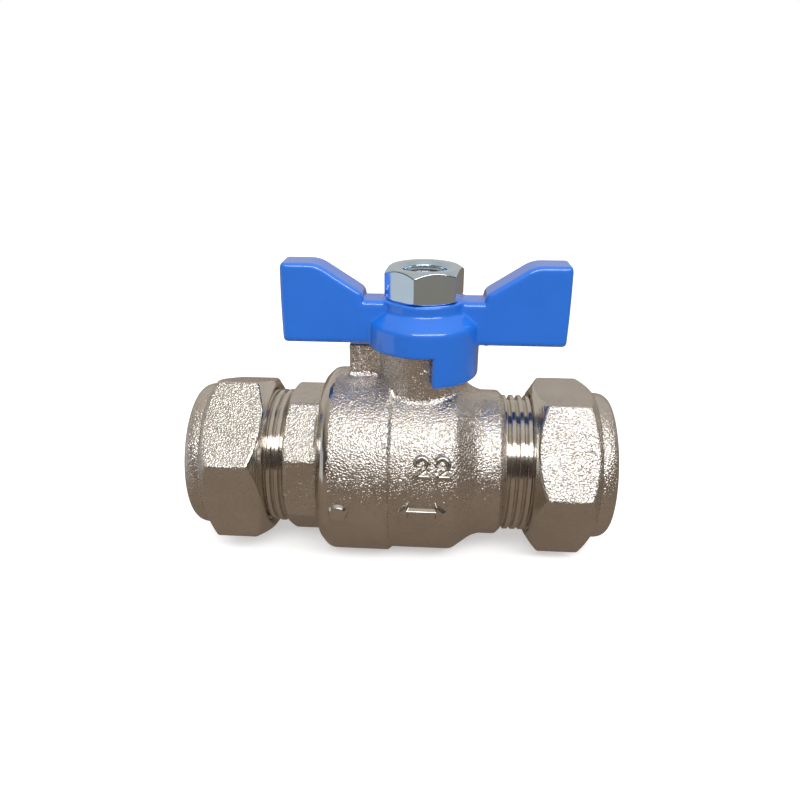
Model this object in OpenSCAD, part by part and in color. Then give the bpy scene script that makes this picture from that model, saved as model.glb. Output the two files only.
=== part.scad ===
// Quarter-turn ball valve with a compression joint at each end, for 22 mm pipe.
// Millimetres, +X along the pipe, +Z up the stem, origin where the stem axis crosses the pipe axis.
// Rest pose: valve open, handle wings along the pipe.

/* [Pipe joints] */
// outside diameter of the pipe that fits
pipe_d = 22; // [20:1:24]
// outside diameter of the joint threads
thread_d = 26.4; // [25:0.1:28]
// pitch of the joint threads
thread_pitch = 1.5; // [1:0.1:2]
// width across the flats of a compression nut
nut_af = 30; // [29.2:0.1:31]
// length of a compression nut along the pipe
nut_length = 15.1; // [14:0.1:16]
// outside diameter of the round outer end of a nut
collar_d = 28.2; // [27:0.1:28.6]
// distance from the stem axis to the left nut's outer face
left_reach = 43.9; // [43:0.1:48]
// distance from the stem axis to the right nut's outer face
right_reach = 35.7; // [35:0.1:38]

/* [Body] */
// outside diameter of the barrel that takes the end connector
barrel_d = 36.2; // [35.6:0.1:38]
// outside diameter of the band below the stem
band_d = 34.9; // [34:0.1:35.6]
// outside diameter of the body where it meets the right thread
socket_d = 28.4; // [28:0.1:30]
// corner to corner width of the eight-sided end connector
octagon_d = 29.6; // [29.2:0.1:31]
// outside diameter of the neck round the stem
neck_d = 16.2; // [15.6:0.1:16.4]
// width of the stop lug beside the neck
lug_width = 3.2; // [3:0.05:4]
// height of the raised marks on the body
mark_height = 0.45; // [0.1:0.05:0.6]

/* [Ball and stem] */
// diameter of the ball
ball_d = 24; // [23.6:0.1:24.4]
// bore through the ball and the body
flow_bore = 15; // [12:0.5:15]
// diameter of the stem in the neck
stem_d = 10; // [9:0.1:10]
// diameter of the stem thread under the handle nut
stem_thread_d = 8; // [7.6:0.1:8]

/* [Handle] */
// span over both wings
wing_span = 52; // [48:0.2:60]
// thickness of the wings
wing_thickness = 7; // [4:0.1:8]
// height of the wing tops above the pipe axis
wing_top = 39.5; // [38:0.1:41]
// outside diameter of the handle skirt
skirt_d = 20.6; // [20:0.1:22]
// height of the skirt edge above the pipe axis
skirt_bottom = 24.4; // [24:0.1:24.8]
// height of the deep stop part of the skirt above the pipe axis
stop_bottom = 18.9; // [18.6:0.1:20]
// height of the face under the handle nut
boss_top = 33; // [32.6:0.1:33.5]
// width across the flats of the handle nut
handle_nut_af = 13; // [12:0.1:13]
// height of the handle nut
handle_nut_height = 5.7; // [5:0.1:6.5]

/* [Hidden] */
$fn = 96;
eps = 0.05;
running_gap = 0.05;
fit_gap = 0.1;
// half the lug's width seen from the stem axis is the angle a stop edge keeps from the lug's middle
skirt_r = skirt_d / 2;
skirt_bore_r = neck_d / 2 + 0.4;
stop_rest_gap = 0.2;
lug_angle = asin(lug_width / 2 / skirt_bore_r);
quarter_turn = 90;

// pipe joints
thread_r = thread_d / 2;
thread_depth = 0.62 * thread_pitch;
pipe_bore_r = pipe_d / 2 + fit_gap;
nut_corner_r = nut_af / sqrt(3);
collar_length = 3.2;
nut_thread_start = 8;
mouth_depth = 9;
pipe_stop_depth = 20.5;
left_mouth = left_reach - mouth_depth;
right_mouth = right_reach - mouth_depth;
mouth_chamfer = 0.9;
mouth_cone = 1.6;
nut_bore_r = thread_r + running_gap;
olive_length = 6.4;
olive_r = pipe_bore_r + 1.55;
olive_tip_r = pipe_bore_r + 0.2;
olive_start = 3.5;

// body stations along the pipe
barrel_end = 18.9;
lip_length = 2.4;
lip_rise = 2.2;
barrel_step = 5.4;
step_width = 0.5;
cone_start = 6.2;
cone_end = 10.6;
socket_end = 14.6;
right_thread_start = 15.7;
octagon_inner = barrel_end - eps;
octagon_outer = 25.4;
left_thread_start = 25.9;
barrel_bore_r = 14.2;
plug_end = 9.1;
cavity_r = ball_d / 2 + 0.4;
cavity_end = 8.6;

// seats and ball
flow_r = flow_bore / 2;
seat_inner = 8.2;
seat_outer = 11.4;
seat_r = 11;
seat_pocket_r = seat_r + eps;
seat_gap = 0.02;
slot_width = 5;
slot_floor = 9.2;

// stem stations up the neck
stem_r = stem_d / 2;
tang_length = 9;
stem_flange_r = 6.4;
stem_flange_bottom = 12.4;
stem_flange_top = 13.9;
washer_top = 14.9;
gland_top = washer_top + eps;
neck_top = 27.2;
neck_bore_r = stem_r + running_gap;
oring_wire_r = 0.9;
oring_r = stem_r - oring_wire_r + 0.02;
oring_low = 18;
oring_high = 21.6;
flats_bottom = 27.6;
flats_width = 7;
stem_top = 37.4;
flats_top = boss_top;

// handle
hub_floor = 28.2;
boss_r = 7.6;
dome_top = 31;
dome_bottom = 28.5;
wing_bottom = 24.9;
wing_tip_inner = 19.2;
wing_foot_inner = 10.8;
wing_foot_height = 34.1;
wing_lean = 0.2;
handle_nut_corner_r = handle_nut_af / sqrt(3);
stop_first = lug_angle + stop_rest_gap - quarter_turn;
stop_last = 180 - lug_angle - stop_rest_gap;

// a profile of [distance along the axis, radius] points turned about +X
module turned(points) {
    rotate([0, 90, 0])
        rotate_extrude()
            polygon([for (p = points) [p[1], p[0]]]);
}

// the same for the left end, mirrored onto -X
module turned_left(points) {
    mirror([1, 0, 0]) turned(points);
}

// a profile of [radius, height] points turned about the stem axis
module upright(points) {
    rotate_extrude() polygon(points);
}

// V-shaped rings cut into a shaft or a bore of radius r between two stations on the axis
module thread_grooves(from, to, r, depth, pitch) {
    count = floor((to - from) / pitch);
    for (i = [0 : count - 1]) {
        middle = from + (i + 0.5) * pitch;
        rotate_extrude()
            polygon([[r - depth, middle - 0.08 * pitch],
                     [r - depth, middle + 0.08 * pitch],
                     [r + sign(depth) * 0.02, middle + 0.42 * pitch],
                     [r + sign(depth) * 0.02, middle - 0.42 * pitch]]);
    }
}

module ring(wire_r, centre_r) {
    rotate_extrude() translate([centre_r, 0]) circle(r = wire_r, $fn = 32);
}

// one raised figure two, standing on the XY plane, about 2.6 wide and 3.4 high
module figure_two() {
    stroke = 0.55;
    bow_r = 1.05;
    linear_extrude(height = 1.2) {
        translate([0, 0.7])
            difference() {
                circle(r = bow_r + stroke / 2, $fn = 32);
                circle(r = bow_r - stroke / 2, $fn = 32);
                translate([-3, -3]) square([3, 3.1]);
                translate([-0.1, -3]) square([3, 2.3]);
            }
        polygon([[1.1, 0.35], [0.55, 0.1], [-1.3, -1.6], [-0.5, -1.6], [0.9, -0.25]]);
        translate([-1.3, -1.7]) square([2.6, stroke]);
    }
}

// raised arrow with a head at each end: water may flow either way
module flow_arrow() {
    half_length = 4.1;
    head_length = 1.5;
    head_width = 2.6;
    shaft_width = 0.6;
    linear_extrude(height = 1.2)
        for (side = [0, 1])
            mirror([side, 0])
                polygon([[0, -shaft_width / 2], [half_length - head_length, -shaft_width / 2],
                         [half_length - head_length, -head_width / 2], [half_length, 0],
                         [half_length - head_length, head_width / 2],
                         [half_length - head_length, shaft_width / 2], [0, shaft_width / 2]]);
}

module body_outside() {
    barrel_r = barrel_d / 2;
    band_r = band_d / 2;
    turned([[-barrel_end, 0], [-barrel_end, barrel_r - lip_rise],
            [-barrel_end + 0.35 * lip_length, barrel_r - 0.45 * lip_rise],
            [-barrel_end + 0.7 * lip_length, barrel_r - 0.1 * lip_rise],
            [-barrel_end + lip_length, barrel_r],
            [-barrel_step - step_width, barrel_r], [-barrel_step, band_r],
            [cone_start, band_r], [cone_end, socket_d / 2], [socket_end, socket_d / 2],
            [right_thread_start, thread_r], [right_mouth - mouth_chamfer, thread_r],
            [right_mouth, thread_r - mouth_chamfer], [right_mouth, 0]]);
    cylinder(r = neck_d / 2, h = neck_top);
    stop_lug();
}

// upright lug that the handle's stop edges meet, with a sloping foot on the barrel
module stop_lug() {
    lug_top = skirt_bottom - 0.15;
    lug_end = 13.8;
    foot = 0.8;
    translate([-lug_end, -lug_width / 2, 0]) cube([lug_end, lug_width, lug_top]);
    rotate([90, 0, 90])
        translate([0, 0, -lug_end])
            linear_extrude(height = lug_end)
                polygon([[-lug_width / 2 - foot, 17.4], [lug_width / 2 + foot, 17.4],
                         [lug_width / 2, 17.4 + foot], [-lug_width / 2, 17.4 + foot]]);
}

module raised_marks() {
    mark_tilt = 22;
    mark_x = [0.8, 4];
    for (x = mark_x)
        rotate([-mark_tilt, 0, 0])
            translate([x, -band_d / 2 - mark_height, 0])
                rotate([90, 0, 0])
                    mirror([0, 0, 1])
                        figure_two();
    rotate([5, 0, 0])
        translate([0.6, -band_d / 2 - mark_height, 0])
            rotate([90, 0, 0])
                mirror([0, 0, 1])
                    flow_arrow();
    pip_r = 1.6;
    rotate([7, 0, 0])
        translate([-14.4, -barrel_d / 2 - mark_height, 0])
            rotate([-90, 0, 0])
                cylinder(r = pip_r, h = 2);
}

module valve_body() {
    color([0.78, 0.76, 0.73])
        difference() {
            union() {
                body_outside();
                raised_marks();
            }
            // bores along the pipe: connector thread, ball chamber, right seat, flow bore, pipe socket
            turned([[-barrel_end - 1, 0], [-barrel_end - 1, barrel_bore_r], [-cavity_end, barrel_bore_r],
                    [-cavity_end, cavity_r], [cavity_end, cavity_r], [cavity_end, seat_pocket_r],
                    [seat_outer, seat_pocket_r], [seat_outer, flow_r],
                    [right_reach - pipe_stop_depth, flow_r], [right_reach - pipe_stop_depth, pipe_bore_r],
                    [right_mouth - mouth_cone, pipe_bore_r], [right_mouth, pipe_bore_r + 1.2],
                    [right_mouth + 1, pipe_bore_r + 1.2], [right_mouth + 1, 0]]);
            rotate([0, 90, 0])
                thread_grooves(right_thread_start + 0.2, right_mouth - mouth_chamfer, thread_r,
                               thread_depth, thread_pitch);
            // bores up the neck: room for the stem flange and washer, then the stem gland
            cylinder(r = stem_flange_r + 0.1, h = gland_top);
            cylinder(r = neck_bore_r, h = neck_top + 1);
        }
}

module end_connector() {
    plug_r = barrel_bore_r - running_gap;
    seal_x = 11.6;
    color([0.74, 0.72, 0.69])
        difference() {
            union() {
                turned_left([[plug_end, 0], [plug_end, plug_r - 0.4], [plug_end + 0.4, plug_r],
                             [octagon_inner + 1, plug_r], [octagon_inner + 1, 0]]);
                // eight-sided wrench part with its outer corners turned off
                intersection() {
                    rotate([22.5, 0, 0])
                        rotate([0, -90, 0])
                            translate([0, 0, octagon_inner + 2 * eps])
                                cylinder(r = octagon_d / 2, h = octagon_outer - octagon_inner - 2 * eps, $fn = 8);
                    turned_left([[octagon_inner, 0], [octagon_inner, octagon_d / 2 + 1],
                                 [octagon_outer - 0.9, octagon_d / 2 + 0.1],
                                 [octagon_outer, thread_r + 0.1], [octagon_outer, 0]]);
                }
                turned_left([[octagon_outer - 1, 0], [octagon_outer - 1, thread_r - 0.2],
                             [left_thread_start - 0.2, thread_r - 0.2], [left_thread_start, thread_r],
                             [left_mouth - mouth_chamfer, thread_r],
                             [left_mouth, thread_r - mouth_chamfer], [left_mouth, 0]]);
            }
            turned_left([[plug_end - 1, 0], [plug_end - 1, seat_pocket_r], [seat_outer, seat_pocket_r],
                         [seat_outer, flow_r], [left_reach - pipe_stop_depth, flow_r],
                         [left_reach - pipe_stop_depth, pipe_bore_r],
                         [left_mouth - mouth_cone, pipe_bore_r], [left_mouth, pipe_bore_r + 1.2],
                         [left_mouth + 1, pipe_bore_r + 1.2], [left_mouth + 1, 0]]);
            rotate([0, -90, 0])
                thread_grooves(left_thread_start, left_mouth - mouth_chamfer, thread_r,
                               thread_depth, thread_pitch);
            rotate([0, -90, 0])
                thread_grooves(seal_x + 1.4, octagon_inner - 0.6, plug_r, 0.6, 1);
            // groove for the connector seal
            turned_left([[seal_x - 0.9, plug_r - 1.5], [seal_x - 0.9, plug_r + 1],
                         [seal_x + 0.9, plug_r + 1], [seal_x + 0.9, plug_r - 1.5]]);
        }
}

module connector_seal() {
    wire_r = 0.75;
    color([0.1, 0.1, 0.1])
        translate([-11.6, 0, 0])
            rotate([0, 90, 0])
                ring(wire_r, barrel_bore_r - wire_r - 0.02);
}

module ball() {
    color([0.85, 0.85, 0.87])
        difference() {
            sphere(d = ball_d);
            rotate([0, 90, 0]) cylinder(r = flow_r, h = 2 * ball_d, center = true);
            translate([-slot_width / 2, -ball_d / 2, slot_floor]) cube([slot_width, ball_d, ball_d]);
        }
}

// seat ring: its mouth is turned to the ball's own curve, just clear of it
module seat_ring() {
    color([0.95, 0.95, 0.93])
        difference() {
            turned([[seat_inner, flow_r], [seat_inner, seat_r], [seat_outer - 0.02, seat_r],
                    [seat_outer - 0.02, flow_r]]);
            sphere(r = ball_d / 2 + seat_gap);
        }
}

module seat_left() {
    mirror([1, 0, 0]) seat_ring();
}

module seat_right() {
    seat_ring();
}

module stem() {
    color([0.8, 0.68, 0.4])
        difference() {
            union() {
                // tang in the ball's slot
                intersection() {
                    translate([-slot_width / 2 + running_gap, -tang_length / 2, slot_floor + 0.1])
                        cube([slot_width - 2 * running_gap, tang_length, 4]);
                    cylinder(r = stem_flange_r, h = 20);
                }
                upright([[0, stem_flange_bottom], [stem_flange_r, stem_flange_bottom],
                         [stem_flange_r, stem_flange_top], [stem_r, stem_flange_top],
                         [stem_r, flats_bottom], [0, flats_bottom]]);
                // two flats carry the handle
                intersection() {
                    translate([0, 0, flats_bottom - eps]) cylinder(r = stem_r, h = flats_top - flats_bottom + eps);
                    translate([-flats_width / 2, -stem_r, 0]) cube([flats_width, stem_d, 60]);
                }
                upright([[0, flats_top - eps], [stem_thread_d / 2, flats_top - eps],
                         [stem_thread_d / 2, stem_top - 0.6], [stem_thread_d / 2 - 0.6, stem_top],
                         [0, stem_top]]);
            }
            // grooves for the two O-rings, and the thread under the handle nut
            for (z = [oring_low, oring_high])
                upright([[oring_r - oring_wire_r - eps, z - 1.1], [stem_r + 1, z - 1.1],
                         [stem_r + 1, z + 1.1], [oring_r - oring_wire_r - eps, z + 1.1]]);
            thread_grooves(boss_top + 0.1, stem_top - 0.6, stem_thread_d / 2, 0.55, 1);
        }
}

module stem_thrust_washer() {
    color([0.95, 0.95, 0.93])
        upright([[stem_r + 0.1, stem_flange_top + 0.02], [stem_flange_r, stem_flange_top + 0.02],
                 [stem_flange_r, washer_top], [stem_r + 0.1, washer_top]]);
}

module stem_o_ring_lower() {
    color([0.1, 0.1, 0.1]) translate([0, 0, oring_low]) ring(oring_wire_r, oring_r);
}

module stem_o_ring_upper() {
    color([0.1, 0.1, 0.1]) translate([0, 0, oring_high]) ring(oring_wire_r, oring_r);
}

// outline of one wing with the bar that joins it to the hub, seen along +Y
module wing_outline() {
    tip = wing_span / 2;
    corner = 0.8;
    polygon([[0, wing_bottom], [tip - corner - wing_lean, wing_bottom],
             [tip - wing_lean, wing_bottom + corner], [tip, wing_top - 2 * corner],
             [tip - 0.3 * corner, wing_top - 0.6 * corner], [tip - corner, wing_top - 0.2 * corner],
             [tip - 2 * corner, wing_top], [wing_tip_inner, wing_top],
             [wing_foot_inner, wing_foot_height], [wing_foot_inner, boss_top - 0.1],
             [0, boss_top - 0.1]]);
}

module wings() {
    for (side = [0, 1])
        mirror([side, 0, 0])
            translate([0, wing_thickness / 2, 0])
                rotate([90, 0, 0])
                    linear_extrude(height = wing_thickness)
                        wing_outline();
}

module hub_outside() {
    upright([[0, stop_bottom], [skirt_r, stop_bottom], [skirt_r, dome_bottom],
             [skirt_r - 0.3, dome_bottom + 0.4], [boss_r + 0.2, dome_top - 0.1], [boss_r, dome_top + 0.2],
             [boss_r, boss_top - 0.3], [boss_r - 0.3, boss_top], [0, boss_top]]);
}

// the gap in the deep skirt: its two ends are the edges that meet the lug
module stop_window() {
    rotate([0, 0, stop_last])
        rotate_extrude(angle = 360 + stop_first - stop_last)
            translate([1, stop_bottom - 1])
                square([skirt_r, skirt_bottom - stop_bottom + 1]);
}

module handle() {
    color([0.16, 0.42, 0.8])
        difference() {
            union() {
                hub_outside();
                wings();
            }
            stop_window();
            cylinder(r = skirt_bore_r, h = hub_floor);
            // hole with two flats that fits the stem
            intersection() {
                cylinder(r = stem_r + fit_gap, h = 60);
                translate([-flats_width / 2 - running_gap, -stem_d, 0])
                    cube([flats_width + 2 * running_gap, 2 * stem_d, 60]);
            }
        }
}

module handle_nut() {
    chamfer = 0.9;
    top = boss_top + handle_nut_height;
    bore_r = stem_thread_d / 2 + running_gap;
    color([0.82, 0.82, 0.84])
        difference() {
            intersection() {
                rotate([0, 0, 17.5])
                    translate([0, 0, boss_top + 0.02])
                        cylinder(r = handle_nut_corner_r, h = handle_nut_height - 0.02, $fn = 6);
                upright([[0, boss_top], [handle_nut_af / 2, boss_top],
                         [handle_nut_corner_r + 0.01, boss_top + chamfer / 2],
                         [handle_nut_corner_r + 0.01, top - chamfer],
                         [handle_nut_af / 2, top], [0, top]]);
            }
            translate([0, 0, boss_top - 1]) cylinder(r = bore_r, h = handle_nut_height + 2);
            upright([[0, top - 0.7], [bore_r - eps, top - 0.7], [bore_r + 0.75, top + 0.1], [0, top + 0.1]]);
        }
}

// a nut standing on its outer face with the pipe's axis as +Z, turned by the angle of one corner
module compression_nut(corner_angle) {
    chamfer = 2.4;
    hex_start = collar_length;
    color([0.8, 0.78, 0.75])
        difference() {
            union() {
                intersection() {
                    rotate([0, 0, corner_angle])
                        translate([0, 0, hex_start])
                            cylinder(r = nut_corner_r, h = nut_length - hex_start, $fn = 6);
                    upright([[0, 0], [collar_d / 2 + 0.2, hex_start], [nut_corner_r + 0.1, hex_start + 2.3],
                             [nut_corner_r + 0.1, nut_length - chamfer],
                             [nut_af / 2 - 1, nut_length], [0, nut_length]]);
                }
                upright([[0, 0], [collar_d / 2 - 1.2, 0], [collar_d / 2 - 0.5, 0.5],
                         [collar_d / 2, 1.6], [collar_d / 2, hex_start + 1], [0, hex_start + 1]]);
            }
            // pipe hole, cone that closes on the olive, then the threaded bore
            upright([[0, -1], [pipe_bore_r + eps, -1], [pipe_bore_r + eps, olive_start - 0.4],
                     [nut_bore_r, nut_thread_start - 1.6], [nut_bore_r, nut_length - 0.6],
                     [nut_bore_r + 0.7, nut_length + 0.1], [0, nut_length + 0.1]]);
            thread_grooves(nut_thread_start, nut_length - 0.7, nut_bore_r, -0.7, thread_pitch);
        }
}

module compression_nut_left() {
    translate([-left_reach, 0, 0]) rotate([0, 90, 0]) compression_nut(12);
}

module compression_nut_right() {
    translate([right_reach, 0, 0]) rotate([0, -90, 0]) compression_nut(33.5);
}

// double-ended cone ring that grips the pipe
module olive() {
    color([0.85, 0.7, 0.4])
        upright([[pipe_bore_r, olive_start], [olive_tip_r, olive_start],
                 [olive_r, olive_start + 0.35 * olive_length], [olive_r, olive_start + 0.65 * olive_length],
                 [olive_tip_r, olive_start + olive_length], [pipe_bore_r, olive_start + olive_length]]);
}

module olive_left() {
    translate([-left_reach, 0, 0]) rotate([0, 90, 0]) olive();
}

module olive_right() {
    translate([right_reach, 0, 0]) rotate([0, -90, 0]) olive();
}

valve_body();
end_connector();
connector_seal();
ball();
seat_left();
seat_right();
stem();
stem_thrust_washer();
stem_o_ring_lower();
stem_o_ring_upper();
handle();
handle_nut();
compression_nut_left();
compression_nut_right();
olive_left();
olive_right();
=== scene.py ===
import math

import bpy
import numpy as np
from mathutils import Matrix, Vector


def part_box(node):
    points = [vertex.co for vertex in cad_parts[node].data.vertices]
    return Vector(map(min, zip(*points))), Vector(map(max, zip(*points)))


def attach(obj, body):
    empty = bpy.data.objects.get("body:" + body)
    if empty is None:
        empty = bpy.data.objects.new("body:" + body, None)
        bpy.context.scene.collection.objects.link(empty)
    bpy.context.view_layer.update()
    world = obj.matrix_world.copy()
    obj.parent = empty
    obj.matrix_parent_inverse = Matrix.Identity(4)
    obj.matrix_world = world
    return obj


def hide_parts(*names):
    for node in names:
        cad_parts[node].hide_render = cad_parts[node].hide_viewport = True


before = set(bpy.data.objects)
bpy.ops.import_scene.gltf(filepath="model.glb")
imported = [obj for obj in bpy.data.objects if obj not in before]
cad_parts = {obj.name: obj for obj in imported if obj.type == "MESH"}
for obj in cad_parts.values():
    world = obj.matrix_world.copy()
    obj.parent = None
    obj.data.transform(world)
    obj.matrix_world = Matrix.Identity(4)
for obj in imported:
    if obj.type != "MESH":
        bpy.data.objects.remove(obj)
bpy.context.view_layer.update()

MM = 0.001

# ---------------------------------------------------------------- sizes in millimetres


def node_box(name):
    """Lowest and highest corner of a CAD node, in millimetres."""
    low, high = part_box(name)
    return np.array(low) / MM, np.array(high) / MM


body_low, body_high = node_box("valve_body")
connector_low, connector_high = node_box("end_connector")
handle_low, handle_high = node_box("handle")
cap_low, cap_high = node_box("handle_nut")
left_nut_low, left_nut_high = node_box("compression_nut_left")
right_nut_low, right_nut_high = node_box("compression_nut_right")

# joint threads and the way through the valve
THREAD_R = 13.2
THREAD_PITCH = 1.5
THREAD_DEPTH = 0.8
THREAD_CORE_R = THREAD_R - THREAD_DEPTH - 0.06
PIPE_R = 11.1
PIPE_STOP = 20.5          # depth of the pipe's stop behind a nut's outer face
TUBE_END = 11.4           # where the bore next to the seats ends, from the stem axis
TUBE_R = 11.05
FLOW_R = 7.5

# body
BARREL_R = 18.1
BARREL_LIP = 2.4          # length of the rounded left end of the barrel
BARREL_STEP = -5.7        # where the barrel steps down to the band
BAND_R = 17.45
CONE_START = 6.2
CONE_END = 10.9
SOCKET_R = 14.2
SOCKET_END = 14.6
NECK_R = 8.1
STEM_BORE_R = 5.05
STEM_WELL_R = 6.5
STEM_WELL_TOP = 14.95
LUG_HALF_WIDTH = 1.6
LUG_TOP = 24.2
LUG_END = -13.75
PLUG_R = 14.2
BALL_ROOM_R = 12.4
BALL_ROOM_END = 8.6

# raised marks: place along the pipe axis and angle above the front
MARK_HEIGHT = 0.6
DIGIT_X = (0.5, 4.1)
NUMBER_RISE = math.radians(22)
ARROW_X = 0.6
ARROW_RISE = math.radians(-5)
PIP_X = -14.4
PIP_R = 1.55
PIP_RISE = math.radians(-7)

# end connector
OCTAGON_START = 18.95
OCTAGON_CORNER_R = 14.8
PLUG_JOIN = 19.4
SEAL_GROOVE = 11.6
SEAL_GROOVE_R = 12.65

# compression nuts, along their own axis from the outer face
NUT_ACROSS_FLATS = 30
NUT_CORNER_R = NUT_ACROSS_FLATS / math.sqrt(3)
NUT_CHAMFER_START = 12.6
NUT_CHAMFER_R = 17.6
NUT_LENGTH = 15.1
NUT_FACE_R = 14.0
NUT_BORE_R = 13.25
COLLAR_LENGTH = 3.2
COLLAR_R = 14.1
NUT_CONE_START = 3.1

# lever and its nut
HUB_SHOULDER = 28.8
HUB_TOP = 31.1
BOSS_R = 7.6
WING_BOTTOM = 24.9
WING_TOP = 39.5
WING_FOOT = 10.8
WING_FOOT_TOP = 34.1
WING_CREST = 19.2
WING_HALF_WIDTH = 3.5
STOP_EDGES = (math.radians(-78.95), math.radians(168.95))
SKIRT_CUT_TOP = 24.4
HUB_HOLLOW_R = 8.5
HUB_HOLLOW_TOP = 28.2
STEM_HOLE_R = 5.1
STEM_FLATS = 3.55
CAP_CORNER_R = 7.5
CAP_TURN = 17.5           # degrees the lever nut is turned on the stem
CAP_BORE_R = 4.05

# sizes read from the CAD
NECK_TOP = body_high[2]
BARREL_END = body_low[0]
RIGHT_MOUTH = body_high[0]
LEFT_MOUTH = -connector_low[0]
PLUG_END = -connector_high[0]
PIPE_STOP_LEFT = -left_nut_low[0] - PIPE_STOP
PIPE_STOP_RIGHT = right_nut_high[0] - PIPE_STOP
FLOOR_Z = min(left_nut_low[2], right_nut_low[2]) * MM - 0.0002


# ---------------------------------------------------------------- distance fields


def soft_min(a, b, k):
    """Union of two distance fields with a fillet of about k."""
    h = np.clip(0.5 + 0.5 * (b - a) / k, 0, 1)
    return b + (a - b) * h - k * h * (1 - h)


def soft_max(a, b, k):
    """Intersection of two distance fields with the edge rounded by about k."""
    return -soft_min(-a, -b, k)


def union(*fields):
    """Union of any number of distance fields, with sharp joins."""
    result = fields[0]
    for field in fields[1:]:
        result = np.minimum(result, field)
    return result


def convex_profile(along, across, points, k):
    """Distance to a convex outline given as (along, across) points in clockwise order."""
    result = None
    for (a0, r0), (a1, r1) in zip(points[:-1], points[1:]):
        length = math.hypot(a1 - a0, r1 - r0)
        side = ((across - r0) * (a1 - a0) - (along - a0) * (r1 - r0)) / length
        result = side if result is None else soft_max(result, side, k)
    return result


def prism_distance(p, q, count, corner_angle, corner_r, k):
    """Distance to a regular prism's sides; corner_angle is where one corner points, from +p to +q."""
    flat_r = corner_r * math.cos(math.pi / count)
    result = None
    for i in range(count):
        a = math.radians(corner_angle) + (i + 0.5) * 2 * math.pi / count
        side = p * math.cos(a) + q * math.sin(a) - flat_r
        result = side if result is None else soft_max(result, side, k)
    return result


def capsule_distance(u, v, start, end):
    """Distance in a plane from the line between two points."""
    du, dv = end[0] - start[0], end[1] - start[1]
    t = np.clip(((u - start[0]) * du + (v - start[1]) * dv) / (du * du + dv * dv), 0, 1)
    return np.hypot(u - start[0] - t * du, v - start[1] - t * dv)


# ---------------------------------------------------------------- from a field to a mesh


def grid_net(field, low, high, step):
    """Surface net of a field's zero level: one vertex per crossed cell, one quad per crossed edge."""
    axes = [np.arange(low[i] - 2 * step, high[i] + 2.5 * step, step) for i in range(3)]
    x, y, z = np.meshgrid(*axes, indexing="ij", sparse=True)
    values = field(x, y, z)
    cells = tuple(n - 1 for n in values.shape)
    corner_sum = np.zeros((int(np.prod(cells)), 3))
    hits = np.zeros(int(np.prod(cells)))
    quads = []
    for axis in range(3):
        lower = [slice(None)] * 3
        upper = [slice(None)] * 3
        lower[axis] = slice(0, -1)
        upper[axis] = slice(1, None)
        va, vb = values[tuple(lower)], values[tuple(upper)]
        edges = np.argwhere((va < 0) != (vb < 0))
        other = [i for i in range(3) if i != axis]
        keep = np.all([(edges[:, i] > 0) & (edges[:, i] < cells[i]) for i in other], axis=0)
        edges = edges[keep]
        a = va[tuple(edges.T)]
        b = vb[tuple(edges.T)]
        point = edges.astype(float)
        point[:, axis] += a / (a - b)
        around = []
        for shift_p, shift_q in ((-1, -1), (0, -1), (0, 0), (-1, 0)):
            cell = edges.copy()
            cell[:, other[0]] += shift_p
            cell[:, other[1]] += shift_q
            flat = np.ravel_multi_index(tuple(cell.T), cells)
            for i in range(3):
                corner_sum[:, i] += np.bincount(flat, weights=point[:, i], minlength=len(hits))
            hits += np.bincount(flat, minlength=len(hits))
            around.append(flat)
        quad = np.stack(around, axis=1)
        flip = (a < 0) == (axis == 1)
        quad[flip] = quad[flip][:, ::-1]
        quads.append(quad)
    used = np.flatnonzero(hits)
    new_index = np.full(len(hits), -1)
    new_index[used] = np.arange(len(used))
    vertices = corner_sum[used] / hits[used][:, None]
    vertices = np.array([ax[0] for ax in axes]) + vertices * step
    return vertices, new_index[np.concatenate(quads)]


def settle(field, vertices, rounds=2):
    """Moves vertices along the field's slope onto its zero level."""
    h = 0.01
    for _ in range(rounds):
        x, y, z = vertices.T
        value = field(x, y, z)
        slope = np.stack([field(x + h, y, z) - field(x - h, y, z),
                          field(x, y + h, z) - field(x, y - h, z),
                          field(x, y, z + h) - field(x, y, z - h)], axis=1) / (2 * h)
        steep = np.maximum((slope ** 2).sum(axis=1), 0.25)
        vertices = vertices - np.clip(value / steep, -0.2, 0.2)[:, None] * slope
    return vertices


def mesh_object(name, vertices, faces, materials):
    """A mesh object from millimetre vertices, shaded smooth."""
    mesh = bpy.data.meshes.new(name)
    mesh.from_pydata((np.asarray(vertices) * MM).tolist(), [], np.asarray(faces).tolist())
    for material in materials:
        mesh.materials.append(material)
    mesh.polygons.foreach_set("use_smooth", [True] * len(mesh.polygons))
    mesh.update()
    obj = bpy.data.objects.new(name, mesh)
    bpy.context.collection.objects.link(obj)
    return obj


def carved(name, field, low, high, step, materials):
    """A mesh object made from a distance field."""
    vertices, faces = grid_net(field, low, high, step)
    return mesh_object(name, settle(field, vertices), faces, materials)


def paint_faces(obj, index, test):
    """Gives a material slot to the faces whose centre, in millimetres, passes the test."""
    mesh = obj.data
    centres = np.zeros(len(mesh.polygons) * 3)
    mesh.polygons.foreach_get("center", centres)
    x, y, z = centres.reshape(-1, 3).T / MM
    slots = np.zeros(len(mesh.polygons), dtype=np.int32)
    mesh.polygons.foreach_get("material_index", slots)
    slots[test(x, y, z)] = index
    mesh.polygons.foreach_set("material_index", slots)


# ---------------------------------------------------------------- shapes


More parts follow.
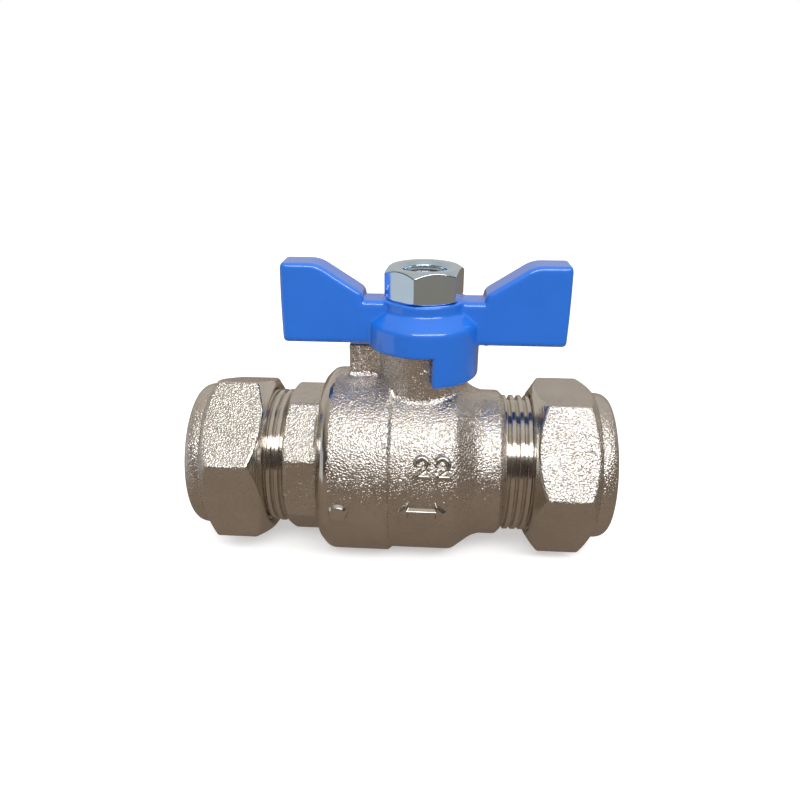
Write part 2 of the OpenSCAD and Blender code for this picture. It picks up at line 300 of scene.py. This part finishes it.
def digit_two(u, v):
    """Distance to the stroke of a figure two centred on (0, 0), 3.4 high."""
    bow_r, stroke_r = 1.0, 0.3
    bow_v = 0.65
    bow_last = math.radians(-50)
    foot_left, foot_right = (-1.05, -1.4), (1.15, -1.4)
    far = 9.0
    angle = np.arctan2(v - bow_v, u)
    on_bow = (angle > bow_last) | (angle < math.radians(-175))
    bow = np.where(on_bow, np.abs(np.hypot(u, v - bow_v) - bow_r), far)
    bow_end = (bow_r * math.cos(bow_last), bow_v + bow_r * math.sin(bow_last))
    bow = np.minimum(bow, np.hypot(u + bow_r, v - bow_v))
    slant = capsule_distance(u, v, bow_end, foot_left)
    foot = capsule_distance(u, v, foot_left, foot_right)
    return np.minimum(np.minimum(bow, slant), foot) - stroke_r


def flow_arrow(u, v):
    """Distance to an arrow along u with a head at each end."""
    tip, head_start, shaft_half_width = 4.1, 2.6, 0.3
    along_edge, across_edge = 1.3, 1.5
    side = np.abs(u)
    edge = (side - tip) * along_edge + np.abs(v) * across_edge
    head = np.maximum(head_start - side, edge / math.hypot(along_edge, across_edge))
    shaft = np.maximum(side - head_start - 0.4, np.abs(v) - shaft_half_width)
    return np.minimum(head, shaft)


def pipe_way(r, along, mouth, stop):
    """Hollow for the pipe from one mouth to its stop, with the cone the olive sits in."""
    socket = np.maximum(r - PIPE_R, stop - along)
    olive_cone = (r - PIPE_R - 1.2 + (mouth - along) * 0.75) * 0.8
    return np.minimum(socket, olive_cone)


def body_turned_shape(x, r):
    """The parts of the body that are round about the pipe axis."""
    barrel = convex_profile(x, r, [(BARREL_END, 0), (BARREL_END, BARREL_R - 2.2),
                                   (BARREL_END + 0.35 * BARREL_LIP, BARREL_R - 1.06),
                                   (BARREL_END + 0.75 * BARREL_LIP, BARREL_R - 0.22),
                                   (BARREL_END + BARREL_LIP, BARREL_R), (BARREL_STEP, BARREL_R),
                                   (BARREL_STEP + 0.6, BAND_R - 0.2), (BARREL_STEP + 0.6, 0)], 0.35)
    band = convex_profile(x, r, [(-9, 0), (-9, BAND_R), (CONE_START, BAND_R), (CONE_END, 14.0),
                                 (CONE_END, 0)], 0.5)
    socket = convex_profile(x, r, [(0, 0), (0, SOCKET_R), (SOCKET_END, SOCKET_R),
                                   (SOCKET_END + 1.1, THREAD_R - 0.1), (SOCKET_END + 1.1, 0)], 0.3)
    core = convex_profile(x, r, [(0, 0), (0, THREAD_CORE_R), (RIGHT_MOUTH, THREAD_CORE_R),
                                 (RIGHT_MOUTH, 0)], 0.1)
    shape = soft_min(barrel, soft_min(band, socket, 1.0), 0.35)
    return np.minimum(shape, core)


def body_hollow(x, z, r, from_stem):
    """Everything cut out of the body: flow bore, connector bore, ball room, pipe socket, stem bore."""
    flow = r - FLOW_R
    plug = np.maximum(r - PLUG_R, x + BALL_ROOM_END)
    ball_room = np.maximum(r - BALL_ROOM_R, np.abs(x) - BALL_ROOM_END)
    tube = np.maximum(r - TUBE_R, np.maximum(x - TUBE_END, -x))
    pipe = pipe_way(r, x, RIGHT_MOUTH, PIPE_STOP_RIGHT)
    stem_bore = np.maximum(from_stem - STEM_BORE_R, -z)
    stem_well = np.maximum(from_stem - STEM_WELL_R, np.maximum(z - STEM_WELL_TOP, -z))
    return union(flow, plug, ball_room, tube, pipe, stem_bore, stem_well)


def valve_body_field(x, y, z):
    r = np.hypot(y, z)
    from_stem = np.hypot(x, y)
    neck = np.maximum(from_stem - NECK_R, np.maximum(z - NECK_TOP, -z))
    lug = soft_max(LUG_END - x, np.maximum(x, z - LUG_TOP), 0.3)
    lug = soft_max(np.abs(y) - LUG_HALF_WIDTH, lug, 0.3)
    lug = np.maximum(lug, -z)
    shape = soft_min(body_turned_shape(x, r), lug, 1.2)
    shape = soft_min(shape, neck, 0.9)
    return soft_max(shape, -body_hollow(x, z, r, from_stem), 0.1)


def sloping_mark(outline, rise):
    """A raised mark with sloping sides; rise is the height over the body."""
    slope = 0.7
    side = (outline + 0.15 + (rise - MARK_HEIGHT) * slope) / math.hypot(1, slope)
    return soft_max(side, np.abs(rise) - MARK_HEIGHT, 0.1)


def marks_field(x, y, z):
    """The raised size number, flow arrow and round mark on the front of the body."""
    r = np.hypot(y, z)
    around = np.arctan2(z, -y)
    number_v = (around - NUMBER_RISE) * BAND_R
    arrow_v = (around - ARROW_RISE) * BAND_R
    flat_mark = flow_arrow(x - ARROW_X, arrow_v)
    for centre in DIGIT_X:
        flat_mark = np.minimum(flat_mark, digit_two(x - centre, number_v / 1.08))
    pip_v = (around - PIP_RISE) * BARREL_R
    pip = np.hypot(x - PIP_X, pip_v) - PIP_R
    return np.minimum(sloping_mark(flat_mark, r - BAND_R), sloping_mark(pip, r - BARREL_R))


def connector_field(x, y, z):
    r = np.hypot(y, z)
    out = -x
    octagon = prism_distance(z, y, 8, 22.5, OCTAGON_CORNER_R, 0.35)
    turned = convex_profile(out, r, [(OCTAGON_START, 0), (OCTAGON_START, 16), (24.6, 15.0),
                                     (25.7, THREAD_R - 0.4), (25.7, 0)], 0.25)
    shape = soft_max(octagon, turned, 0.3)
    core = convex_profile(out, r, [(PLUG_JOIN, 0), (PLUG_JOIN, THREAD_CORE_R),
                                   (LEFT_MOUTH, THREAD_CORE_R), (LEFT_MOUTH, 0)], 0.1)
    plug = convex_profile(out, r, [(PLUG_END, 0), (PLUG_END, PLUG_R - 0.05), (PLUG_JOIN, PLUG_R - 0.05),
                                   (PLUG_JOIN, 0)], 0.3)
    groove = np.maximum(np.abs(out - SEAL_GROOVE) - 0.9, SEAL_GROOVE_R - r)
    plug = np.maximum(plug, -groove)
    shape = np.minimum(np.minimum(shape, core), plug)
    flow = r - FLOW_R
    tube = np.maximum(r - TUBE_R, out - TUBE_END)
    hollow = union(flow, tube, pipe_way(r, out, LEFT_MOUTH, PIPE_STOP_LEFT))
    return soft_max(shape, -hollow, 0.1)


def nut_hollow(u, r):
    """Pipe hole, cone over the olive and threaded bore, u being the depth from the outer face."""
    hole_r = PIPE_R + 0.05
    hole = r - hole_r
    cone = np.maximum((r - hole_r - (u - NUT_CONE_START) * 0.636) * 0.84, NUT_CONE_START - u)
    cone = np.maximum(cone, r - NUT_BORE_R)
    mouth = (r - NUT_BORE_R - (u - NUT_LENGTH + 0.7) * 1.05) * 0.69
    return np.minimum(np.minimum(hole, cone), mouth)


def nut_field(reach, sign, corner_angle):
    """Distance field of a compression nut; corner_angle is from +Z toward the front."""

    def field(x, y, z):
        u = reach - sign * x
        r = np.hypot(y, z)
        hexagon = prism_distance(z, -y, 6, corner_angle, NUT_CORNER_R, 0.4)
        turned = convex_profile(u, r, [(COLLAR_LENGTH, 0), (COLLAR_LENGTH, COLLAR_R + 0.2),
                                       (COLLAR_LENGTH + 2.2, NUT_CHAMFER_R),
                                       (NUT_CHAMFER_START, NUT_CHAMFER_R),
                                       (NUT_LENGTH, NUT_FACE_R), (NUT_LENGTH, 0)], 0.2)
        collar = convex_profile(u, r, [(0, 0), (0, COLLAR_R - 1.2), (0.5, COLLAR_R - 0.5),
                                       (1.6, COLLAR_R), (5, COLLAR_R), (5, 0)], 0.4)
        shape = soft_min(soft_max(hexagon, turned, 0.35), collar, 0.2)
        return soft_max(shape, -nut_hollow(u, r), 0.15)

    return field


def lever_hub(z, from_stem):
    """Skirt, sloping shoulder and boss of the lever."""
    skirt_r = (handle_high[1] - handle_low[1]) / 2
    bottom, top = handle_low[2], cap_low[2]
    skirt = convex_profile(z, from_stem, [(bottom, 0), (bottom, skirt_r), (HUB_SHOULDER, skirt_r),
                                          (HUB_TOP, BOSS_R + 0.2), (HUB_TOP, 0)], 0.5)
    boss = convex_profile(z, from_stem, [(25, 0), (25, BOSS_R), (top, BOSS_R), (top, 0)], 0.4)
    return soft_min(skirt, boss, 0.6)


def lever_wings(x, y, z):
    """Both wings and the bar that joins them across the boss."""
    tip, top = handle_high[0], cap_low[2]
    side = np.abs(x)
    blade = convex_profile(side, z, [(tip - 0.2, WING_BOTTOM), (WING_FOOT, WING_BOTTOM),
                                     (WING_FOOT, WING_FOOT_TOP), (WING_CREST, WING_TOP),
                                     (tip - 0.1, WING_TOP), (tip, WING_TOP - 1.4),
                                     (tip - 0.2, WING_BOTTOM)], 0.9)
    blade = soft_max(blade, np.abs(y) - WING_HALF_WIDTH, 1.1)
    bar = soft_max(z - top + 0.1, np.abs(y) - WING_HALF_WIDTH, 1.3)
    bar = np.maximum(side - WING_FOOT - 0.8, soft_max(bar, WING_BOTTOM - z, 1.1))
    return soft_min(blade, bar, 0.25)


def skirt_window(x, y, z):
    """The sector of the skirt that is cut short, between the two stop edges."""
    first, last = STOP_EDGES
    left_of_last = -(y * math.cos(last) - x * math.sin(last))
    right_of_first = y * math.cos(first) - x * math.sin(first)
    return np.maximum(np.maximum(left_of_last, right_of_first), z - SKIRT_CUT_TOP)


def handle_field(x, y, z):
    from_stem = np.hypot(x, y)
    shape = soft_min(lever_hub(z, from_stem), lever_wings(x, y, z), 0.5)
    shape = soft_max(shape, -skirt_window(x, y, z), 0.5)
    hollow = np.maximum(from_stem - HUB_HOLLOW_R, z - HUB_HOLLOW_TOP)
    flats = np.maximum(from_stem - STEM_HOLE_R, np.abs(x) - STEM_FLATS)
    hollow = np.minimum(hollow, flats)
    return soft_max(shape, -hollow, 0.3)


def cap_nut_field(x, y, z):
    r = np.hypot(x, y)
    bottom, top = cap_low[2], cap_high[2]
    turned_r = CAP_CORNER_R + 0.02
    hexagon = prism_distance(x, y, 6, CAP_TURN, CAP_CORNER_R, 0.15)
    turned = convex_profile(z, r, [(bottom, 0), (bottom, 6.5), (bottom + 0.45, turned_r),
                                   (top - 0.9, turned_r), (top, 6.3), (top, 0)], 0.08)
    shape = soft_max(hexagon, turned, 0.12)
    chamfer = (r - CAP_BORE_R - (z - top + 0.7) * 1.1) * 0.67
    hollow = np.minimum(r - CAP_BORE_R, chamfer)
    return soft_max(shape, -hollow, 0.1)


def thread_sheet(name, start, end, sign):
    """A helical joint thread as one fine sheet round the X axis, fading out at both ends.

    start is the end nearest the stem and end the mouth, both as distances from the stem axis."""
    step_x = 0.07
    around = 288
    mouth_chamfer = 0.9
    stations = np.arange(start, end + step_x / 2, step_x)
    angles = np.linspace(0, 2 * math.pi, around, endpoint=False)
    along, angle = np.meshgrid(stations, angles, indexing="ij")
    phase = (along / THREAD_PITCH - sign * angle / (2 * math.pi)) % 1.0
    flank = np.clip((np.abs(2 * phase - 1) - 0.42) / 0.48, 0, 1)
    groove = THREAD_DEPTH * flank * flank * (3 - 2 * flank)
    run_in = np.clip((along - start) / 0.5, 0, 1)
    radius = THREAD_R - groove
    radius = np.minimum(radius, THREAD_R - THREAD_DEPTH * (1 - run_in))
    radius = np.minimum(radius, THREAD_R - mouth_chamfer + (end - along))
    # both ends turn in under the surface they grow from
    first = np.full((1, around), THREAD_R - THREAD_DEPTH - 0.2)
    last = np.full((1, around), THREAD_R - mouth_chamfer - 0.6)
    radius = np.concatenate([first, radius, last])
    along = np.concatenate([along[:1], along, along[-1:]])
    angle = np.concatenate([angle[:1], angle, angle[-1:]])
    points = np.stack([sign * along, radius * np.sin(angle), radius * np.cos(angle)], axis=-1)
    rows, count = radius.shape
    index = np.arange(rows * count).reshape(rows, count)
    a, b = index[:-1], index[1:]
    faces = np.stack([a, np.roll(a, -1, axis=1), np.roll(b, -1, axis=1), b], axis=-1).reshape(-1, 4)
    if sign > 0:
        faces = faces[:, ::-1]
    return mesh_object(name, points.reshape(-1, 3), faces, [BRIGHT])


# ---------------------------------------------------------------- materials


def new_material(name):
    """A node material with its tree's nodes, links and main shader."""
    material = bpy.data.materials.new(name)
    material.use_nodes = True
    nodes = material.node_tree.nodes
    links = material.node_tree.links
    shader = nodes["Principled BSDF"]
    return material, nodes, links, shader


def object_noise(nodes, links, scale, detail=2.0):
    """Noise in object space; scale is in features per metre."""
    where = nodes.new("ShaderNodeTexCoord")
    noise = nodes.new("ShaderNodeTexNoise")
    noise.inputs["Scale"].default_value = scale
    noise.inputs["Detail"].default_value = detail
    noise.inputs["Roughness"].default_value = 0.5
    links.new(where.outputs["Object"], noise.inputs["Vector"])
    return noise


def ramp(nodes, links, source, stops):
    """Colour ramp from (position, colour) stops."""
    node = nodes.new("ShaderNodeValToRGB")
    node.color_ramp.elements[0].position = stops[0][0]
    node.color_ramp.elements[0].color = (*stops[0][1], 1)
    node.color_ramp.elements[1].position = stops[-1][0]
    node.color_ramp.elements[1].color = (*stops[-1][1], 1)
    for position, colour in stops[1:-1]:
        element = node.color_ramp.elements.new(position)
        element.color = (*colour, 1)
    links.new(source, node.inputs["Fac"])
    return node


def mottle(nodes, links, noise, dark, light):
    """Colour that drifts between two close tints with the noise."""
    return ramp(nodes, links, noise.outputs["Fac"], [(0.3, dark), (0.7, light)])


def value_range(nodes, links, source, low, high, from_low=0.3, from_high=0.7):
    """Maps a value between two limits onto low to high."""
    node = nodes.new("ShaderNodeMapRange")
    node.inputs["From Min"].default_value = from_low
    node.inputs["From Max"].default_value = from_high
    node.inputs["To Min"].default_value = low
    node.inputs["To Max"].default_value = high
    links.new(source, node.inputs["Value"])
    return node


def add_bump(nodes, links, shader, height, distance, after=None):
    """Bump of the given height in metres on the shader's normal, on top of an earlier bump if given."""
    bump = nodes.new("ShaderNodeBump")
    bump.inputs["Distance"].default_value = distance
    bump.inputs["Strength"].default_value = 1.0
    links.new(height, bump.inputs["Height"])
    if after is not None:
        links.new(after.outputs["Normal"], bump.inputs["Normal"])
    links.new(bump.outputs["Normal"], shader.inputs["Normal"])
    return bump


def blasted_nickel():
    """Nickel plate over a sand-blasted casting: sparkling grain of about a third of a millimetre."""
    material, nodes, links, shader = new_material("blasted_nickel")
    shader.inputs["Metallic"].default_value = 1.0
    grain = object_noise(nodes, links, 3300, detail=1.0)
    fine = object_noise(nodes, links, 7000, detail=1.0)
    cloud = object_noise(nodes, links, 130, detail=3.0)
    tint = mottle(nodes, links, cloud, (0.70, 0.65, 0.60), (0.77, 0.73, 0.69))
    links.new(tint.outputs["Color"], shader.inputs["Base Color"])
    rough = value_range(nodes, links, grain.outputs["Fac"], 0.15, 0.24)
    links.new(rough.outputs["Result"], shader.inputs["Roughness"])
    first = add_bump(nodes, links, shader, grain.outputs["Fac"], 0.00021)
    add_bump(nodes, links, shader, fine.outputs["Fac"], 0.00003, after=first)
    return material


def turned_nickel():
    """Nickel plate over a turned surface: bright, with faint tool rings along the pipe axis."""
    material, nodes, links, shader = new_material("turned_nickel")
    shader.inputs["Metallic"].default_value = 1.0
    cloud = object_noise(nodes, links, 180, detail=3.0)
    tint = mottle(nodes, links, cloud, (0.66, 0.62, 0.57), (0.76, 0.73, 0.69))
    links.new(tint.outputs["Color"], shader.inputs["Base Color"])
    rough = value_range(nodes, links, cloud.outputs["Fac"], 0.10, 0.18)
    links.new(rough.outputs["Result"], shader.inputs["Roughness"])
    where = nodes.new("ShaderNodeTexCoord")
    rings = nodes.new("ShaderNodeTexWave")
    rings.wave_type = "BANDS"
    rings.bands_direction = "X"
    rings.inputs["Scale"].default_value = 900
    rings.inputs["Distortion"].default_value = 1.5
    links.new(where.outputs["Object"], rings.inputs["Vector"])
    add_bump(nodes, links, shader, rings.outputs["Fac"], 0.000006)
    return material


def blue_coating():
    """Thick glossy blue coating with a little flow in it."""
    material, nodes, links, shader = new_material("blue_coating")
    cloud = object_noise(nodes, links, 90, detail=2.0)
    tint = mottle(nodes, links, cloud, (0.002, 0.152, 0.70), (0.004, 0.170, 0.76))
    links.new(tint.outputs["Color"], shader.inputs["Base Color"])
    shader.inputs["Roughness"].default_value = 0.42
    shader.inputs["Coat Weight"].default_value = 1.0
    shader.inputs["Coat Roughness"].default_value = 0.04
    shader.inputs["Coat IOR"].default_value = 1.6
    flow = object_noise(nodes, links, 420, detail=1.0)
    bump = add_bump(nodes, links, shader, flow.outputs["Fac"], 0.00006)
    links.new(bump.outputs["Normal"], shader.inputs["Coat Normal"])
    return material


def chrome():
    """Polished chrome with faint wipe marks."""
    material, nodes, links, shader = new_material("chrome")
    shader.inputs["Metallic"].default_value = 1.0
    smear = object_noise(nodes, links, 420, detail=4.0)
    tint = mottle(nodes, links, smear, (0.64, 0.81, 1.0), (0.70, 0.86, 1.0))
    links.new(tint.outputs["Color"], shader.inputs["Base Color"])
    rough = value_range(nodes, links, smear.outputs["Fac"], 0.06, 0.14)
    links.new(rough.outputs["Result"], shader.inputs["Roughness"])
    add_bump(nodes, links, shader, smear.outputs["Fac"], 0.00001)
    return material


def bare_brass():
    """Turned brass."""
    material, nodes, links, shader = new_material("bare_brass")
    shader.inputs["Metallic"].default_value = 1.0
    cloud = object_noise(nodes, links, 300, detail=3.0)
    tint = mottle(nodes, links, cloud, (0.72, 0.52, 0.22), (0.83, 0.64, 0.33))
    links.new(tint.outputs["Color"], shader.inputs["Base Color"])
    rough = value_range(nodes, links, cloud.outputs["Fac"], 0.18, 0.32)
    links.new(rough.outputs["Result"], shader.inputs["Roughness"])
    return material


def soft_material(name, dark, light, roughness, bump_distance):
    """Rubber or plastic: faintly mottled and finely textured."""
    material, nodes, links, shader = new_material(name)
    cloud = object_noise(nodes, links, 900, detail=3.0)
    tint = mottle(nodes, links, cloud, dark, light)
    links.new(tint.outputs["Color"], shader.inputs["Base Color"])
    shader.inputs["Roughness"].default_value = roughness
    add_bump(nodes, links, shader, cloud.outputs["Fac"], bump_distance)
    return material


NICKEL = blasted_nickel()
BRIGHT = turned_nickel()
BLUE = blue_coating()
CHROME = chrome()
BRASS = bare_brass()
RUBBER = soft_material("seal_rubber", (0.012, 0.012, 0.012), (0.03, 0.03, 0.03), 0.55, 0.00001)
PTFE = soft_material("seat_plastic", (0.80, 0.80, 0.78), (0.90, 0.90, 0.88), 0.4, 0.000005)


# ---------------------------------------------------------------- pieces


def place(obj, body, slot, *nodes):
    """Ties a piece to its moving body and lets it stand in for CAD nodes; slot is not used."""
    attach(obj, body)
    if nodes:
        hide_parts(*nodes)
    return obj


def build_valve_body():
    def turned_faces(x, y, z):
        lip = x < BARREL_END + 2.6
        bore = (np.hypot(y, z) < 12.5) & (np.hypot(x, y) > 6)
        return lip | bore

    body = carved("body_casting", valve_body_field, body_low, body_high, 0.26, [NICKEL, BRIGHT])
    paint_faces(body, 1, turned_faces)
    place(body, "valve", "plated_brass", "valve_body")
    marks = carved("body_marks", marks_field, (-16.2, -18.8, -5), (5.6, -14.8, 9.2), 0.09, [BRIGHT])
    place(marks, "valve", "plated_brass")
    thread = thread_sheet("body_thread", SOCKET_END + 0.6, RIGHT_MOUTH, 1)
    place(thread, "valve", "plated_brass")


def build_connector():
    def turned_faces(x, y, z):
        return (np.hypot(y, z) < 12.6) | (x < -25.3) | (x > -18.9)

    connector = carved("connector_casting", connector_field, connector_low, connector_high, 0.24,
                       [NICKEL, BRIGHT])
    paint_faces(connector, 1, turned_faces)
    place(connector, "valve", "plated_brass", "end_connector")
    thread = thread_sheet("connector_thread", 25.5, LEFT_MOUTH, -1)
    place(thread, "valve", "plated_brass")


def build_compression_nuts():
    chamfer_slope = (NUT_CHAMFER_R - NUT_FACE_R) / (NUT_LENGTH - NUT_CHAMFER_START)
    for side, sign, low, high, angle in (("left", -1, left_nut_low, left_nut_high, 12.0),
                                         ("right", 1, right_nut_low, right_nut_high, 26.5)):
        reach = max(abs(low[0]), abs(high[0]))
        shape = nut_field(reach, sign, angle)
        nut = carved("joint_nut_" + side, shape, low, high, 0.24, [NICKEL, BRIGHT])

        def turned_faces(x, y, z):
            u, r = reach - np.abs(x), np.hypot(y, z)
            chamfer_r = NUT_CHAMFER_R - (u - NUT_CHAMFER_START) * chamfer_slope
            on_chamfer = (u > NUT_CHAMFER_START + 0.2) & (np.abs(r - chamfer_r) < 0.22)
            return (r < NUT_BORE_R + 0.1) | (u > NUT_LENGTH - 0.1) | on_chamfer

        paint_faces(nut, 1, turned_faces)
        place(nut, "nut_body_" + side, "plated_brass", "compression_nut_" + side)


def build_handle():
    handle = carved("lever_casting", handle_field, handle_low, handle_high, 0.24, [BLUE])
    place(handle, "spindle", "blue_coating", "handle")
    cap = carved("lever_nut", cap_nut_field, cap_low, cap_high, 0.11, [CHROME])
    place(cap, "spindle", "polished_chrome", "handle_nut")


def dress_cad_nodes():
    """Materials for the CAD pieces that are shown as they are."""
    looks = {"ball": CHROME, "stem": BRIGHT, "olive_left": BRASS, "olive_right": BRASS,
             "seat_left": PTFE, "seat_right": PTFE, "stem_thrust_washer": PTFE,
             "connector_seal": RUBBER, "stem_o_ring_lower": RUBBER, "stem_o_ring_upper": RUBBER}
    for name, material in looks.items():
        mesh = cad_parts[name].data
        mesh.materials.clear()
        mesh.materials.append(material)


build_valve_body()
build_connector()
build_compression_nuts()
build_handle()
dress_cad_nodes()


# ---------------------------------------------------------------- floor, light, camera


def build_floor():
    """Pale paper for the camera; for every other ray a dim warm sheet that also glows: painted
    reflection and painted bounce light on the metal, untouched by the valve's shadow.
    """
    bpy.ops.mesh.primitive_plane_add(size=6, location=(0, 0, FLOOR_Z))
    floor = bpy.context.object
    floor.name = "floor"
    material, nodes, links, paper = new_material("floor_paper_and_painted_reflection")
    paper.inputs["Roughness"].default_value = 0.9
    paper.inputs["Base Color"].default_value = (0.9, 0.9, 0.9, 1)
    paper.inputs["Emission Color"].default_value = (1, 1, 1, 1)
    paper.inputs["Emission Strength"].default_value = 0.4
    # painted reflection: for reflections and bounces the floor is a dim warm matt plus a warm glow, so
    # the metal's undersides look lit from below even where the floor lies in shadow
    matt = nodes.new("ShaderNodeBsdfDiffuse")
    matt.inputs["Color"].default_value = (0.10, 0.082, 0.065, 1)
    painted_reflection_glow = nodes.new("ShaderNodeEmission")
    painted_reflection_glow.inputs["Color"].default_value = (0.13, 0.10, 0.075, 1)
    dim = nodes.new("ShaderNodeAddShader")
    links.new(matt.outputs["BSDF"], dim.inputs[0])
    links.new(painted_reflection_glow.outputs["Emission"], dim.inputs[1])
    seen = nodes.new("ShaderNodeLightPath")
    mix = nodes.new("ShaderNodeMixShader")
    links.new(seen.outputs["Is Camera Ray"], mix.inputs["Fac"])
    links.new(dim.outputs["Shader"], mix.inputs[1])
    links.new(paper.outputs["BSDF"], mix.inputs[2])
    links.new(mix.outputs["Shader"], nodes["Material Output"].inputs["Surface"])
    floor.data.materials.append(material)


def build_world():
    """White paper for the camera, soft white light on matt surfaces, a dim warm room in the metal."""
    world = bpy.data.worlds.new("studio")
    world.use_nodes = True
    bpy.context.scene.world = world
    nodes, links = world.node_tree.nodes, world.node_tree.links
    where = nodes.new("ShaderNodeTexCoord")
    parts = nodes.new("ShaderNodeSeparateXYZ")
    links.new(where.outputs["Generated"], parts.inputs["Vector"])

    room = nodes["Background"]
    by_height = ramp(nodes, links, parts.outputs["Z"], [
        (0.0, (0.135, 0.105, 0.09)), (0.12, (0.065, 0.05, 0.046)), (0.42, (0.08, 0.065, 0.06)),
        (0.62, (0.30, 0.27, 0.21)), (0.85, (0.48, 0.44, 0.38)), (1.0, (0.6, 0.56, 0.5))])
    links.new(by_height.outputs["Color"], room.inputs["Color"])
    rear = nodes.new("ShaderNodeBackground")
    rear.inputs["Color"].default_value = (0.55, 0.51, 0.46, 1)
    behind = value_range(nodes, links, parts.outputs["Y"], 0, 1, -0.1, 0.5)
    result = nodes.new("ShaderNodeMixShader")
    links.new(behind.outputs["Result"], result.inputs["Fac"])
    links.new(room.outputs[0], result.inputs[1])
    links.new(rear.outputs[0], result.inputs[2])

    seen = nodes.new("ShaderNodeLightPath")
    for ray, strength in (("Is Diffuse Ray", 0.84), ("Is Camera Ray", 1.0)):
        layer = nodes.new("ShaderNodeBackground")
        layer.inputs["Color"].default_value = (1, 1, 1, 1)
        layer.inputs["Strength"].default_value = strength
        mix = nodes.new("ShaderNodeMixShader")
        links.new(seen.outputs[ray], mix.inputs["Fac"])
        links.new(result.outputs[0], mix.inputs[1])
        links.new(layer.outputs[0], mix.inputs[2])
        result = mix
    links.new(result.outputs[0], nodes["World Output"].inputs["Surface"])


def add_area(name, location, target, size_x, size_y, power, colour):
    """A rectangular soft light at a place, turned to a target; metres and watts."""
    light = bpy.data.lights.new(name, "AREA")
    light.shape = "RECTANGLE"
    light.size = size_x
    light.size_y = size_y
    light.energy = power
    light.color = colour
    obj = bpy.data.objects.new(name, light)
    obj.location = location
    obj.rotation_euler = (Vector(target) - Vector(location)).to_track_quat("-Z", "Y").to_euler()
    bpy.context.collection.objects.link(obj)


def build_lights():
    """One wide key light high in front, and a small card that lights the lever nut's left face."""
    key_height = math.radians(47.5)
    key_distance = 0.6
    key_place = (0.12, -key_distance * math.cos(key_height), key_distance * math.sin(key_height))
    add_area("key", key_place, (0.06, 0, 0.01), 0.68, 0.18, 2.55, (0.96, 0.98, 1.0))
    add_area("left_card", (-0.1, -0.02, 0.004), (0, -0.02, 0.004), 0.09, 0.05, 0.006, (0.84, 0.94, 1.0))


def build_camera():
    """The camera in front of the valve and a little above it."""
    place_m = Vector((0.00240, -0.12384, 0.06468))
    right = Vector((0.99720962, 0.07464407, -0.00111207))
    up = Vector((-0.02810734, 0.38921789, 0.92071679))
    back = Vector((0.06915889, -0.91811639, 0.39022987))
    data = bpy.data.cameras.new("camera")
    data.sensor_width = 36
    data.sensor_fit = "HORIZONTAL"
    data.lens = 31.21875
    data.shift_x = 0.016925
    data.shift_y = 0.0025875
    data.clip_start = 0.005
    camera = bpy.data.objects.new("camera", data)
    bpy.context.collection.objects.link(camera)
    bpy.context.scene.camera = camera
    turn = Matrix((right, up, back)).transposed()
    camera.matrix_world = Matrix.Translation(place_m) @ turn.to_4x4()


build_floor()
build_world()
build_lights()
build_camera()
bpy.context.scene.view_settings.view_transform = "Standard"
